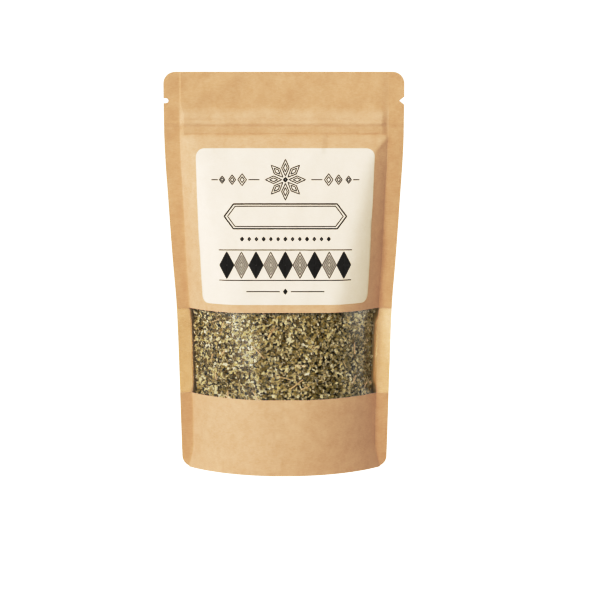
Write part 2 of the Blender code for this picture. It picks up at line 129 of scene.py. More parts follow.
# Soft creases in the whole pouch: from x, z to x, z, their breadth and how far they stand out
CREASES = (
    (-0.0560, 0.2010, -0.0270, 0.2140, 0.0045, 0.00060),
    (-0.0180, 0.2060, 0.0060, 0.2100, 0.0050, 0.00024),
    (0.0212, 0.1832, 0.0200, 0.1760, 0.0018, 0.00055),
    (0.0176, 0.1826, 0.0168, 0.1775, 0.0050, 0.00070),
    (0.0556, 0.1818, 0.0490, 0.1750, 0.0015, 0.00050),
    (0.0320, 0.2020, 0.0540, 0.2080, 0.0040, 0.00022),
    (-0.0490, 0.1820, -0.0400, 0.1750, 0.0022, 0.00026),
    (-0.0552, 0.1818, -0.0490, 0.1752, 0.0014, 0.00022),
)
# Gentle unevenness of the paper: waves per metre across and up, and their height
COCKLES = ((38.0, 22.0), (-27.0, 45.0), (61.0, -14.0))
COCKLE_HEIGHT = 0.00009
STIFF_FOOT = 0.030  # the gusset keeps the foot even up to here
# A faint line where the gusset is sealed to the panels, from the seals down to the middle
HEM_MIDDLE = 0.010
HEM_CORNER = 0.037
HEM_BREADTH = 0.0009
HEM_RISE = 0.00007
HEM_FADE = 0.002  # width over which it fades out beside a seal
NOTCH_HEIGHT = 0.2025
NOTCH_DEPTH = 0.0026
SLOT_HALF_HEIGHT = 0.0013  # left notch: a round-ended slot
VEE_HALF_HEIGHT = 0.0021  # right notch: a V
BACK_LAYER = (0.00008, 0.00030)  # how far its inner and its outer face lie outside the gap
# How much the layers lie pressed together, up the pouch
PRESSED_HEIGHTS = (0.1820, 0.1846, 0.1880, 0.1896, 0.1952, 0.1990)
PRESSED_SHARES = (0.0, 0.6, 0.5, 0.0, 0.0, 0.8)
PRESSED_BLUR = (0.0002, 0.0006)  # how far a seal's mark reaches inwards, and its soft rim
PRESSED_TONE = (0.925, 0.885, 0.82)  # tint of the outside where it is pressed
# painted shade: the inner face is darkened and warmed wherever the layers are not pressed, for the shade
# inside the closed body
INSIDE_PAINTED_SHADE = (0.84, 0.78, 0.50)  # tint of the inside where it is not
KRAFT_LIGHT = (0.735, 0.545, 0.390)
KRAFT_DARK = (0.600, 0.405, 0.255)
FIBRE_HEIGHT = 0.0001  # how far the fibres stand out of the paper
LINED_LIGHT = (0.84, 0.60, 0.38)
LINED_DARK = (0.72, 0.48, 0.26)
# Spacing of the panels' rows in the body, below the zip where it narrows and puckers, across the
# zip, at the notches and above them, and the heights between those parts
BODY_ROWS = 0.0018
PUCKER_ROWS = 0.0008
ZIP_ROWS = 0.00024
NOTCH_ROWS = 0.0002
TOP_ROWS = 0.0012
PUCKER_BOTTOM = 0.170
ZIP_ROWS_BOTTOM = CREASE - 0.002
ZIP_ROWS_TOP = 0.2000
NOTCH_ROWS_TOP = NOTCH_HEIGHT + 0.0025
# Columns of points across the body, in the bend beside each seal, and across each seal
BODY_COLUMNS = 85
BEND_COLUMNS = 14
SEAL_COLUMNS = 8
BEND_BREADTH = 0.004
SHARP_ANGLE = math.radians(50)  # the rim stays crisp, and everything softer is shaded smooth


def station_tangents(values):
    """Slopes at the stations that keep a curve through them from overshooting."""
    rises = np.diff(values) / np.diff(STATIONS[:, 0])
    before, after = rises[:-1], rises[1:]
    alike = before * after > 0
    inner = np.where(alike, 2 * before * after / np.where(alike, before + after, 1.0), 0.0)
    return np.concatenate((rises[:1], inner, rises[-1:]))


def along_stations(column, z):
    """A column of the stations as a smooth curve over the height."""
    knots, values = STATIONS[:, 0], STATIONS[:, column]
    tangents = station_tangents(values)
    z = np.clip(z, knots[0], knots[-1])
    i = np.clip(np.searchsorted(knots, z) - 1, 0, len(knots) - 2)
    span = knots[i + 1] - knots[i]
    t = (z - knots[i]) / span
    start = values[i] * (1 + 2 * t) + span * tangents[i] * t
    end = values[i + 1] * (3 - 2 * t) - span * tangents[i + 1] * (1 - t)
    return start * (1 - t) ** 2 + end * t * t


def half_width(z):
    return along_stations(1, z)


def half_chord(z):
    """Half the distance between the inner lines of the side seals."""
    return half_width(z) - along_stations(4, z)


def smooth_step(t):
    t = np.clip(t, 0.0, 1.0)
    return t * t * (3 - 2 * t)


def body_gap(x, z):
    """Half the space inside the filled body: curved flanks under a flatter middle."""
    depth, flank = along_stations(2, z), along_stations(3, z)
    radius = (half_chord(z) ** 2 + flank**2) / (2 * flank)
    arc = np.sqrt(radius**2 - x**2) - (radius - flank)
    flattening = flank - depth
    blend = np.interp(z, BLEND_HEIGHTS, BLEND_SHARES) * flattening + 1e-5
    bulge = (arc + depth - np.hypot(arc - depth, blend) + np.hypot(flattening, blend) - flattening) / 2
    soft = (bulge + np.hypot(bulge, SEAM_SOFTNESS * depth)) / 2
    over_bottom = smooth_step((z - WINDOW_BOTTOM) / CLING_HEIGHT)
    under_top = smooth_step((WINDOW_TOP - z) / CLING_HEIGHT)
    free = smooth_step((half_chord(z) - np.abs(x)) / np.where(x < 0, *CLING_WIDTHS))
    return soft * (1 - over_bottom * under_top * (1 - free)) * (z < CREASE)


def half_gap(x, z):
    """Distance from the seam plane to the inner side of a panel."""
    relief, crushed = np.interp(z, *ZIP_RELIEF.T), np.interp(z, *CRUSHED_ZIP.T)
    step = np.where(x < 0, *(np.interp(z, SEAL_STEP_HEIGHTS, widths) for widths in SEAL_STEPS))
    chord = half_chord(z)
    inside = smooth_step((chord - np.abs(x)) / step)
    line = HEM_MIDDLE + (HEM_CORNER - HEM_MIDDLE) * (x / chord) ** 2
    hem = HEM_RISE * np.exp(-(((z - line) / HEM_BREADTH) ** 2)) * smooth_step((chord - np.abs(x)) / HEM_FADE)
    return np.maximum(body_gap(x, z), crushed + (relief - crushed) * inside) + hem


def layer(x, z, distance):
    """Distance from the seam plane to a layer that lies `distance` outside the gap."""
    step = 0.0002
    slope_x = (half_gap(x + step, z) - half_gap(x - step, z)) / (2 * step)
    slope_z = (half_gap(x, z + step) - half_gap(x, z - step)) / (2 * step)
    return half_gap(x, z) + distance * np.sqrt(1 + slope_x**2 + slope_z**2)


def edge(side, z):
    """Half width to the die-cut edge on one side: rounded corners, and that side's notch."""
    reach = half_width(z)
    for radius, middle, beyond in (
        (TOP_CORNER_RADIUS, HEIGHT - TOP_CORNER_RADIUS, 1),
        (BOTTOM_CORNER_RADIUS, BOTTOM_CORNER_RADIUS, -1),
    ):
        past = np.clip(beyond * (z - middle), 0.0, radius)
        reach = reach - radius + np.sqrt(radius**2 - past**2)
    off = np.abs(z - NOTCH_HEIGHT)
    if side < 0:
        round_end = np.sqrt(np.maximum(SLOT_HALF_HEIGHT**2 - off**2, 0.0))
        cut = np.where(off < SLOT_HALF_HEIGHT, NOTCH_DEPTH - SLOT_HALF_HEIGHT + round_end, 0.0)
    else:
        cut = NOTCH_DEPTH * np.clip(1 - off / VEE_HALF_HEIGHT, 0.0, 1.0)
    return reach - cut


def seam_depth(x, z):
    """How far the seam plane lies forward at a point: the side seals bend out of it."""
    past = np.abs(x) - half_chord(z)
    past = (past + np.hypot(past, FIN_SOFTNESS) - FIN_SOFTNESS) / 2
    slope = np.where(x < 0, *(np.interp(z, FIN_HEIGHTS, slopes) for slopes in (FIN_LEFT, FIN_RIGHT)))
    bow = TOP_BOW * (x / half_width(z)) ** 2 * smooth_step((z - TOP_BOW_START) / (HEIGHT - TOP_BOW_START))
    uneven = COCKLE_HEIGHT * sum(np.sin(2 * math.pi * (a * x + b * z)) for a, b in COCKLES)
    for x0, z0, x1, z1, breadth, rise in CREASES:
        span = (x1 - x0) ** 2 + (z1 - z0) ** 2
        share = np.clip(((x - x0) * (x1 - x0) + (z - z0) * (z1 - z0)) / span, 0.0, 1.0)
        off = np.hypot(x - x0 - share * (x1 - x0), z - z0 - share * (z1 - z0))
        uneven = uneven + rise * np.exp(-((off / breadth) ** 2))
    return slope * past + bow + uneven * smooth_step((z - STIFF_FOOT) / STIFF_FOOT)


def steps(low, high, size):
    """Evenly spaced values from low to high, about one size apart."""
    return np.linspace(low, high, max(2, round((high - low) / size) + 1))


def panel_rows(low, high):
    """Heights of a panel's rows: close together at the corners, the notches and the zip."""
    turn = 1 - np.cos(np.linspace(0, math.pi / 2, 9))
    rows = np.concatenate((
        BOTTOM_CORNER_RADIUS * turn,
        steps(BOTTOM_CORNER_RADIUS, WINDOW_BOTTOM, BODY_ROWS),
        steps(WINDOW_BOTTOM, WINDOW_TOP, BODY_ROWS),
        steps(WINDOW_TOP, PUCKER_BOTTOM, BODY_ROWS),
        steps(PUCKER_BOTTOM, ZIP_ROWS_BOTTOM, PUCKER_ROWS),
        steps(ZIP_ROWS_BOTTOM, ZIP_ROWS_TOP, ZIP_ROWS),
        steps(ZIP_ROWS_TOP, NOTCH_ROWS_TOP, NOTCH_ROWS),
        NOTCH_HEIGHT + SLOT_HALF_HEIGHT * np.array((-1.001, -0.999, 0.999, 1.001)),
        steps(NOTCH_ROWS_TOP, HEIGHT - TOP_CORNER_RADIUS, TOP_ROWS),
        HEIGHT - TOP_CORNER_RADIUS * turn,
    ))
    rows = np.unique(np.round(rows, 6))
    return rows[(rows >= low - 1e-7) & (rows <= high + 1e-7)]


def panel_columns(z):
    """Positions across a panel at the height z, as one row: dense at the seals' inner lines."""
    chord = half_chord(z)
    middle = chord - BEND_BREADTH
    body = np.linspace(-1.0, 1.0, BODY_COLUMNS) * middle
    bend = middle + BEND_BREADTH * (1 - (1 - np.linspace(0, 1, BEND_COLUMNS + 1)[1:]) ** 1.5)
    rim = np.linspace(0, 1, SEAL_COLUMNS + 1)[1:] ** 1.3
    left = chord + (edge(-1, z) - chord) * rim
    right = chord + (edge(1, z) - chord) * rim
    return np.concatenate((-left[::-1], -bend[::-1], body, bend, right))


def grid_faces(rows, columns):
    """The numbers of a grid's points, and its four-sided faces."""
    index = np.arange(rows * columns).reshape(rows, columns)
    quads = np.stack((index[:-1, :-1], index[:-1, 1:], index[1:, 1:], index[1:, :-1]), -1)
    return index, quads.reshape(-1, 4)


def new_object(name, data):
    """An object in the scene for a mesh, a lamp or a camera."""
    made = bpy.data.objects.new(name, data)
    bpy.context.scene.collection.objects.link(made)
    return made


def closed_sheet(name, outer, inner):
    """A thin closed body between two matching grids of points, shaded smooth up to its rim."""
    index, quads = grid_faces(*outer.shape[:2])
    count = index.size
    rim = np.concatenate((index[0, :-1], index[:-1, -1], index[-1, :0:-1], index[:0:-1, 0]))
    after = np.roll(rim, -1)
    walls = np.stack((after, rim, rim + count, after + count), -1)
    faces = np.concatenate((quads, quads[:, ::-1] + count, walls))
    points = np.concatenate((outer.reshape(-1, 3), inner.reshape(-1, 3)))
    mesh = bpy.data.meshes.new(name)
    mesh.from_pydata(points.tolist(), [], faces.tolist())
    mesh.shade_smooth()
    mesh.set_sharp_from_angle(angle=SHARP_ANGLE)
    return new_object(name, mesh)


def pressed(x, z):
    """1 where the layers are sealed together, less where they lie flat, 0 in the body."""
    reach, rim = PRESSED_BLUR
    seal = smooth_step((np.abs(x) - half_chord(z) + reach) / rim)
    return np.maximum(seal, np.interp(z, PRESSED_HEIGHTS, PRESSED_SHARES))


def grid_points(xs, z, y):
    """Points of one grid from its positions across, its row heights and its depths."""
    return np.stack((xs, y, np.broadcast_to(z, xs.shape)), -1)


def panel(name, low, high, layers, side):
    """A panel between two heights; side is -1 for the front of the pouch and 1 for its back."""
    heights = panel_rows(low, high)
    xs = np.stack([panel_columns(z) for z in heights])
    z = heights[:, None] + 0 * xs
    forward = seam_depth(xs, z)
    inner, outer = (grid_points(xs, z, side * layer(xs, z, distance) - forward) for distance in layers)
    if side > 0:
        inner, outer = inner[:, ::-1], outer[:, ::-1]
    sheet = closed_sheet(name, outer, inner)
    points = mesh_points(sheet)
    sealed = sheet.data.attributes.new("pressed", "FLOAT", "POINT")
    sealed.data.foreach_set("value", pressed(points[:, 0], points[:, 2]))
    return sheet


def add_node(tree, kind, inputs=None, **settings):
    """Add a node. An input takes a number, or another node's output socket."""
    made = tree.nodes.new(kind)
    for name, value in settings.items():
        setattr(made, name, value)
    for key, value in (inputs or {}).items():
        if isinstance(value, bpy.types.NodeSocket):
            tree.links.new(value, made.inputs[key])
        else:
            made.inputs[key].default_value = value
    return made


def maths(tree, operation, first, second, **settings):
    inputs = {0: first, 1: second}
    return add_node(tree, "ShaderNodeMath", inputs, operation=operation, **settings).outputs[0]


def vector_maths(tree, operation, first, second):
    return add_node(tree, "ShaderNodeVectorMath", {0: first, 1: second}, operation=operation).outputs[0]


def remap(tree, value, low, high, to_low=0.0, to_high=1.0):
    """Bring a value from one range to another, and keep it inside that."""
    inputs = {"Value": value, "From Min": low, "From Max": high, "To Min": to_low, "To Max": to_high}
    return add_node(tree, "ShaderNodeMapRange", inputs).outputs[0]


def blend_colours(tree, share, low, high):
    """A colour between two. The mix node holds its colours in sockets 6 and 7."""
    inputs = {0: share, 6: low, 7: high}
    return add_node(tree, "ShaderNodeMix", inputs, data_type="RGBA").outputs[2]


def noise(tree, vector, scale, detail=3.0, roughness=0.55):
    inputs = {"Vector": vector, "Scale": scale, "Detail": detail, "Roughness": roughness}
    return add_node(tree, "ShaderNodeTexNoise", inputs).outputs[0]


def bumps(tree, strength, distance, height):
    inputs = {"Strength": strength, "Distance": distance, "Height": height}
    return add_node(tree, "ShaderNodeBump", inputs).outputs[0]


def mark(tree, name):
    """The value that an attribute of the mesh holds at a point."""
    return add_node(tree, "ShaderNodeAttribute", attribute_name=name).outputs["Fac"]


def new_group(name, inputs, outputs):
    """A shader node group with named sockets, and its two end nodes."""
    tree = bpy.data.node_groups.new(name, "ShaderNodeTree")
    for socket, kind in inputs:
        tree.interface.new_socket(socket, in_out="INPUT", socket_type=kind)
    for socket, kind in outputs:
        tree.interface.new_socket(socket, in_out="OUTPUT", socket_type=kind)
    return tree, tree.nodes.new("NodeGroupInput"), tree.nodes.new("NodeGroupOutput")


def make_fibre_group():
    """Kraft paper: cloudy formation, long fibres in two directions, and dark specks."""
    tree, given, result = new_group(
        "kraft_fibres",
        (("Vector", "NodeSocketVector"), ("Light", "NodeSocketColor"), ("Dark", "NodeSocketColor"),
         ("Contrast", "NodeSocketFloat")),
        (("Color", "NodeSocketColor"), ("Roughness", "NodeSocketFloat"), ("Height", "NodeSocketFloat")),
    )
    place = given.outputs["Vector"]
    clouds = noise(tree, place, 170.0, 5.0, 0.74)
    fibres = []
    for angle, scale in ((0.25, (420.0, 900.0, 5200.0)), (-1.15, (520.0, 900.0, 6100.0))):
        inputs = {"Vector": place, "Rotation": (0.0, angle, 0.0), "Scale": scale}
        fibres.append(noise(tree, add_node(tree, "ShaderNodeMapping", inputs).outputs[0], 1.0, 2.0))
    strands = maths(tree, "ADD", remap(tree, fibres[0], 0.42, 0.66), remap(tree, fibres[1], 0.44, 0.68))
    specks = remap(tree, noise(tree, place, 1500.0, 1.0), 0.70, 0.80)
    cloudiness = remap(tree, clouds, 0.30, 0.70, 0.0, 0.75)
    tone = maths(tree, "ADD", cloudiness, maths(tree, "MULTIPLY", strands, 0.30))
    tone = maths(tree, "SUBTRACT", tone, maths(tree, "MULTIPLY", specks, 0.55))
    share = maths(tree, "SUBTRACT", tone, 0.5)
    share = maths(tree, "MULTIPLY", share, given.outputs["Contrast"])
    share = maths(tree, "ADD", share, 0.51, use_clamp=True)
    colour = blend_colours(tree, share, given.outputs["Dark"], given.outputs["Light"])
    tree.links.new(colour, result.inputs["Color"])
    tree.links.new(remap(tree, strands, 0.0, 2.0, 0.78, 0.66), result.inputs["Roughness"])
    height = maths(tree, "ADD", maths(tree, "MULTIPLY", strands, 0.35), maths(tree, "MULTIPLY", clouds, 0.8))
    tree.links.new(height, result.inputs["Height"])
    return tree


def new_material(name):
    """An empty material with its output node, and Object coordinates."""
    material = bpy.data.materials.new(name)
    material.use_nodes = True
    tree = material.node_tree
    tree.nodes.clear()
    place = tree.nodes.new("ShaderNodeTexCoord").outputs["Object"]
    return material, tree, tree.nodes.new("ShaderNodeOutputMaterial"), place


def finish_material(tree, output, inputs):
    """Close a material with one surface."""
    surface = add_node(tree, "ShaderNodeBsdfPrincipled", inputs)
    tree.links.new(surface.outputs[0], output.inputs["Surface"])


def fibres_of(tree, place, light, dark, contrast):
    """The outputs of the paper's fibres, set for one paper."""
    inputs = {"Vector": place, "Light": (*light, 1.0), "Dark": (*dark, 1.0), "Contrast": contrast}
    return add_node(tree, "ShaderNodeGroup", inputs, node_tree=fibre_group).outputs


def kraft_material(name, light, dark, contrast, bump):
    """Bare kraft paper, a little deeper in colour where the seals press it."""
    material, tree, output, place = new_material(name)
    paper = fibres_of(tree, place, light, dark, contrast)
    tone = blend_colours(tree, mark(tree, "pressed"), (1.0, 1.0, 1.0, 1.0), (*PRESSED_TONE, 1.0))
    finish_material(tree, output, {
        "Base Color": vector_maths(tree, "MULTIPLY", paper["Color"], tone),
        "Roughness": paper["Roughness"],
        "Normal": bumps(tree, bump, FIBRE_HEIGHT, paper["Height"]),
        "Specular IOR Level": 0.3,
    })
    return material


def lined_kraft_material():
    """The laminate's inner face: film over kraft, with painted shade where nothing is pressed on it,
    standing in for the shade inside the filled body.
    """
    material, tree, output, place = new_material("lined_kraft")
    paper = fibres_of(tree, place, LINED_LIGHT, LINED_DARK, 0.8)
    # painted shade inside the body, at full strength where nothing is pressed
    tone = blend_colours(tree, mark(tree, "pressed"), (*INSIDE_PAINTED_SHADE, 1.0), (1.0, 1.0, 1.0, 1.0))
    finish_material(tree, output, {
        "Base Color": vector_maths(tree, "MULTIPLY", paper["Color"], tone),
        "Roughness": 0.4,
        "Specular IOR Level": 0.4,
    })
    return material


fibre_group = make_fibre_group()
back_panel = panel("back_panel_paper", 0.0, HEIGHT, BACK_LAYER, 1)
back_panel.data.materials.append(kraft_material("back_kraft", KRAFT_LIGHT, KRAFT_DARK, 0.66, 0.5))
back_panel.data.materials.append(lined_kraft_material())
# a closed sheet lists the polygons of its outer face first, then those of its inner face
one_face = (len(panel_rows(0.0, HEIGHT)) - 1) * (len(panel_columns(0.0)) - 1)
on_inside = np.zeros(len(back_panel.data.polygons), dtype=np.int32)
on_inside[one_face:2 * one_face] = 1
back_panel.data.polygons.foreach_set("material_index", on_inside)
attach(back_panel, "root")
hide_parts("back_panel")


# ---------------------------------------------------------------- front papers
# The front is a clear film with kraft paper laminated on its outside above and below the window.
# Both papers run out into the side seals, and their cut edges cross the pouch as two lines.

KRAFT_LAYER = (0.00017, 0.00038)
CUT_LIGHT = (0.97, 0.90, 0.80)  # the fibres are paler where the paper is cut
CUT_DARK = (0.90, 0.80, 0.66)
CUT_REACH = 1e-6  # a polygon whose middle is this close to the window's edge is a cut one

front_kraft = kraft_material("front_kraft", KRAFT_LIGHT, KRAFT_DARK, 0.66, 0.5)
cut_kraft = kraft_material("cut_kraft", CUT_LIGHT, CUT_DARK, 0.3, 0.3)
for name, node, low, high in (
    ("front_paper_upper", "front_kraft_upper", WINDOW_TOP, HEIGHT),
    ("front_paper_lower", "front_kraft_lower", 0.0, WINDOW_BOTTOM),
):
    paper = panel(name, low, high, KRAFT_LAYER, -1)
    paper.data.materials.append(front_kraft)
    paper.data.materials.append(cut_kraft)
    middles = np.empty(len(paper.data.polygons) * 3)
    paper.data.polygons.foreach_get("center", middles)
    height = middles[Z::3]
    off = np.minimum(np.abs(height - WINDOW_BOTTOM), np.abs(height - WINDOW_TOP))
    paper.data.polygons.foreach_set("material_index", (off < CUT_REACH).astype(np.int32))
    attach(paper, "root")
    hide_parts(node)


# ---------------------------------------------------------------- film
# The clear inner film of the front laminate, which closes the window. It is one sheet from edge
# to edge, glossy, and pulled slightly uneven by what it holds.

FILM_LAYER = (0.00006, 0.00013)
FILM_HAZE = 0.003  # share of the light that it mirrors at any angle, on top of its gloss
WAVE_HEIGHT = 0.0006
SEALED_DULLNESS = 0.45  # the heat seals press the paper's grain into it

film = panel("window_film", 0.0, HEIGHT, FILM_LAYER, -1)
material, tree, output, place = new_material("clear_film")
dull = maths(tree, "MULTIPLY", mark(tree, "pressed"), SEALED_DULLNESS)
waves = bumps(tree, 0.25, WAVE_HEIGHT, noise(tree, place, 90.0, 2.0))
gloss = add_node(tree, "ShaderNodeBsdfPrincipled", {
    "Base Color": (0.96, 0.97, 0.96, 1.0),
    "Metallic": 1.0,
    "Roughness": maths(tree, "ADD", remap(tree, noise(tree, place, 60.0), 0.3, 0.7, 0.26, 0.36), dull),
    "Normal": waves,
})
clear = add_node(tree, "ShaderNodeBsdfTransparent", {"Color": (0.985, 0.985, 0.98, 1.0)})
facing = add_node(tree, "ShaderNodeFresnel", {"IOR": 1.5, "Normal": waves})
outside = maths(tree, "SUBTRACT", 1.0, tree.nodes.new("ShaderNodeNewGeometry").outputs["Backfacing"])
share = maths(tree, "MULTIPLY", maths(tree, "ADD", facing.outputs[0], FILM_HAZE), outside)
mixed = add_node(tree, "ShaderNodeMixShader", {0: share, 1: clear.outputs[0], 2: gloss.outputs[0]})
tree.links.new(mixed.outputs[0], output.inputs["Surface"])
film.data.materials.append(material)
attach(film, "root")
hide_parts("front_film")


# ---------------------------------------------------------------- label
# A cream uncoated paper label with rounded corners, stuck across the upper front paper. It
# follows the pouch's curve and is stiffer than the paper under it.

LABEL_BOTTOM, LABEL_TOP = span("label", Z)
LABEL_WIDTH = 0.0970
LABEL_RADIUS = 0.0045
LABEL_OFFSET = 0.0008  # how far its middle lies right of the pouch's
LABEL_ROWS = 0.0015
LABEL_COLUMNS = 81
LABEL_LAYER = (0.00040, 0.00052)
LABEL_MIDDLE = (LABEL_BOTTOM + LABEL_TOP) / 2
LABEL_LIGHT = (0.87, 0.79, 0.685)
LABEL_DARK = (0.82, 0.73, 0.615)
# Distances along the paper and heights at which the place across the pouch is worked out
ALONG_MARKS = np.linspace(-0.051, 0.051, 205)
HEIGHT_MARKS = np.linspace(LABEL_BOTTOM, LABEL_TOP, 85)


def place_across(z):
    """Positions across the pouch at one height, for even distances along its curved paper."""
    reach = np.linspace(-0.056, 0.056, 225)
    y = layer(reach, z + 0 * reach, LABEL_LAYER[0]) + seam_depth(reach, z)
    length = np.concatenate(((0.0,), np.cumsum(np.hypot(np.diff(reach), np.diff(y)))))
    return np.interp(ALONG_MARKS, length - np.interp(0.0, reach, length), reach)


ACROSS_TABLE = np.stack([place_across(z) for z in HEIGHT_MARKS])


def on_label(along, z, distance):
    """Points on the curved front, from their distances along the paper and their heights."""
    row = (z - LABEL_BOTTOM) / (HEIGHT_MARKS[1] - HEIGHT_MARKS[0])
    column = (along - ALONG_MARKS[0]) / (ALONG_MARKS[1] - ALONG_MARKS[0])
    i = np.clip(row.astype(int), 0, len(HEIGHT_MARKS) - 2)
    j = np.clip(column.astype(int), 0, len(ALONG_MARKS) - 2)
    up, right = row - i, column - j
    low = ACROSS_TABLE[i, j] * (1 - right) + ACROSS_TABLE[i, j + 1] * right
    high = ACROSS_TABLE[i + 1, j] * (1 - right) + ACROSS_TABLE[i + 1, j + 1] * right
    x = low * (1 - up) + high * up
    return np.stack((x, -layer(x, z, distance) - seam_depth(x, z), z), -1)


turn = np.linspace(0, math.pi / 2, 7)
rounding = LABEL_RADIUS * (1 - np.cos(turn))
inset = LABEL_RADIUS * (1 - np.sin(turn))
label_rows = np.concatenate((
    LABEL_BOTTOM + rounding[:-1],
    steps(LABEL_BOTTOM + LABEL_RADIUS, LABEL_TOP - LABEL_RADIUS, LABEL_ROWS),
    LABEL_TOP - rounding[-2::-1],
))
middle_rows = len(label_rows) - 2 * (len(turn) - 1)
label_inset = np.concatenate((inset[:-1], np.zeros(middle_rows), inset[-2::-1]))
half = LABEL_WIDTH / 2 - label_inset[:, None]
along = LABEL_OFFSET + half * np.linspace(-1, 1, LABEL_COLUMNS)
heights = label_rows[:, None] + 0 * along
underside, face = (on_label(along, heights, distance) for distance in LABEL_LAYER)
label = closed_sheet("paper_label", face, underside)
material, tree, output, place = new_material("label_paper")
paper = fibres_of(tree, place, LABEL_LIGHT, LABEL_DARK, 0.7)
finish_material(tree, output, {
    "Base Color": paper["Color"],
    "Roughness": paper["Roughness"],
    "Normal": bumps(tree, 0.25, FIBRE_HEIGHT, paper["Height"]),
    "Specular IOR Level": 0.35,
})
label.data.materials.append(material)
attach(label, "root")
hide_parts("label")


# ---------------------------------------------------------------- label print
# One colour of black ink on the label: an ornament of lozenges, an empty frame for a name, and
# a few rules. It is drawn flat in millimetres from the label's middle and laid on its curve.

INK_GAP = 0.00002  # how far the ink's underside lies over the paper
INK_THICKNESS = 0.00002
FINE_STROKE = 0.00045
BOLD_STROKE = 0.00065
LINE_STEP = 0.8  # longest straight piece of a printed line, in millimetres
# Heights of the drawing's rows over the label's middle, in millimetres
STAR_ROW = 25.0
FRAME_ROW = 5.5
DOT_ROW = -6.6
BAND_ROW = -20.5
BAND_RULES = (-12.4, -28.6)
LAST_ROW = -34.6


def new_shape_tree(name, inputs):
    """A geometry tree with named inputs: the tree, its inputs' identifiers and their sockets."""
    tree = bpy.data.node_groups.new(name, "GeometryNodeTree")
    identifiers = {
        socket: tree.interface.new_socket(socket, in_out="INPUT", socket_type=kind).identifier
        for socket, kind in inputs
    }
    tree.interface.new_socket("Geometry", in_out="OUTPUT", socket_type="NodeSocketGeometry")
    return tree, identifiers, tree.nodes.new("NodeGroupInput").outputs


def finish_shape_tree(tree, shape, material):
    """Make the shape's instances real and give it its material."""
    real = add_node(tree, "GeometryNodeRealizeInstances", {"Geometry": shape})
    inputs = {"Geometry": real.outputs[0], "Material": material}
    dressed = add_node(tree, "GeometryNodeSetMaterial", inputs)
    output = tree.nodes.new("NodeGroupOutput")
    tree.links.new(dressed.outputs[0], output.inputs[0])


def plain_mesh(carrier, tree, identifiers, name, values):
    """Run a geometry tree over a carrier object, and keep its result as a plain mesh object."""
    modifier = carrier.modifiers.new(name, "NODES")
    modifier.node_group = tree
    for key, value in values.items():
        modifier[identifiers[key]] = value
    bpy.context.view_layer.update()
    evaluated = carrier.evaluated_get(bpy.context.evaluated_depsgraph_get())
    mesh = bpy.data.meshes.new_from_object(evaluated)
    bpy.data.objects.remove(carrier)
    mesh.name = name
    return new_object(name, mesh)


def make_stroke_tree():
    """Sweep a flat rectangle along the edges of a mesh, as a printed line."""
    tree, identifiers, given = new_shape_tree("printed_lines", (
        ("Geometry", "NodeSocketGeometry"),
        ("Stroke", "NodeSocketFloat"),
        ("Ink", "NodeSocketFloat"),
        ("Material", "NodeSocketMaterial"),
    ))
    lines = add_node(tree, "GeometryNodeMeshToCurve", {"Mesh": given["Geometry"]})
    level = add_node(tree, "GeometryNodeSetCurveNormal", {"Curve": lines.outputs[0]}, mode="Z_UP")
    inputs = {"Width": given["Stroke"], "Height": given["Ink"]}
    outline = add_node(tree, "GeometryNodeCurvePrimitiveQuadrilateral", inputs)
    inputs = {"Curve": level.outputs[0], "Profile Curve": outline.outputs[0], "Fill Caps": True}
    swept = add_node(tree, "GeometryNodeCurveToMesh", inputs)
    finish_shape_tree(tree, swept.outputs[0], given["Material"])
    return tree, identifiers


def refined(corners, closed):
    """A line through its corners, cut into short pieces."""
    corners = [np.array(corner) for corner in corners]
    if closed:
        corners.append(corners[0])
    points = []
    for here, there in zip(corners, corners[1:]):
        count = max(1, math.ceil(np.linalg.norm(there - here) / LINE_STEP))
        points += [here + (there - here) * k / count for k in range(count)]
    return points if closed else points + [corners[-1]]


def lozenge(x, z, width, height, turn=0.0):
    """Corners of a lozenge around a point, turned about it."""
    corners = ((0.0, height / 2), (width / 2, 0.0), (0.0, -height / 2), (-width / 2, 0.0))
    cosine, sine = math.cos(turn), math.sin(turn)
    return [(x + a * cosine - b * sine, z + a * sine + b * cosine) for a, b in corners]


def nested(x, z, width, height, rings, turn=0.0):
    """Lozenges inside each other, as closed lines."""
    shares = [1 - ring / rings for ring in range(rings)]
    return [(lozenge(x, z, width * share, height * share, turn), True) for share in shares]


def frame_line(reach, rise, point, z):
    """A long frame with a pointed end on each side."""
    inner = reach - point
    upper = [(-inner, z + rise), (inner, z + rise), (reach, z)]
    return upper + [(inner, z - rise), (-inner, z - rise), (-reach, z)]


fine, bold = [], []
# the ornament at the top: a star of eight lozenges between rows of smaller ones
for petal in range(8):
    angle = petal * math.pi / 4
    x, z = 6.4 * math.sin(angle), STAR_ROW + 6.4 * math.cos(angle)
    fine += nested(x, z, 4.0, 9.0, 2, -angle)
bold += nested(0.0, STAR_ROW, 2.2, 2.2, 2)
for side in (-1, 1):
    fine.append(([(side * 14.0, STAR_ROW), (side * 20.0, STAR_ROW)], False))
    for k, size in enumerate((6.4, 5.2, 4.0)):
        fine += nested(side * (23.4 + 5.4 * k), STAR_ROW, 0.72 * size, size, 2)
    fine.append(([(side * 36.6, STAR_ROW), (side * 40.0, STAR_ROW)], False))
# the empty frame for a name
bold.append((frame_line(33.0, 6.6, 5.0, FRAME_ROW), True))
fine.append((frame_line(31.2, 5.4, 4.1, FRAME_ROW), True))
# a row of small lozenges under it
for k in range(-6, 7):
    (bold if k % 3 == 0 else fine).extend(nested(3.9 * k, DOT_ROW, 1.5, 1.9, 2))
# the band below: tall lozenges, solid and open in turn, between two rules
for k in range(-4, 5):
    rings, lines = (9, bold) if k % 2 == 0 else (4, fine)
    lines += nested(7.9 * k, BAND_ROW, 7.4, 14.0, rings)
for z in BAND_RULES:
    fine.append(([(-36.0, z), (36.0, z)], False))
# a short rule at the bottom, broken by a lozenge
bold += nested(0.0, LAST_ROW, 1.8, 2.6, 3)
for side in (-1, 1):
    fine.append(([(side * 3.0, LAST_ROW), (side * 21.0, LAST_ROW)], False))

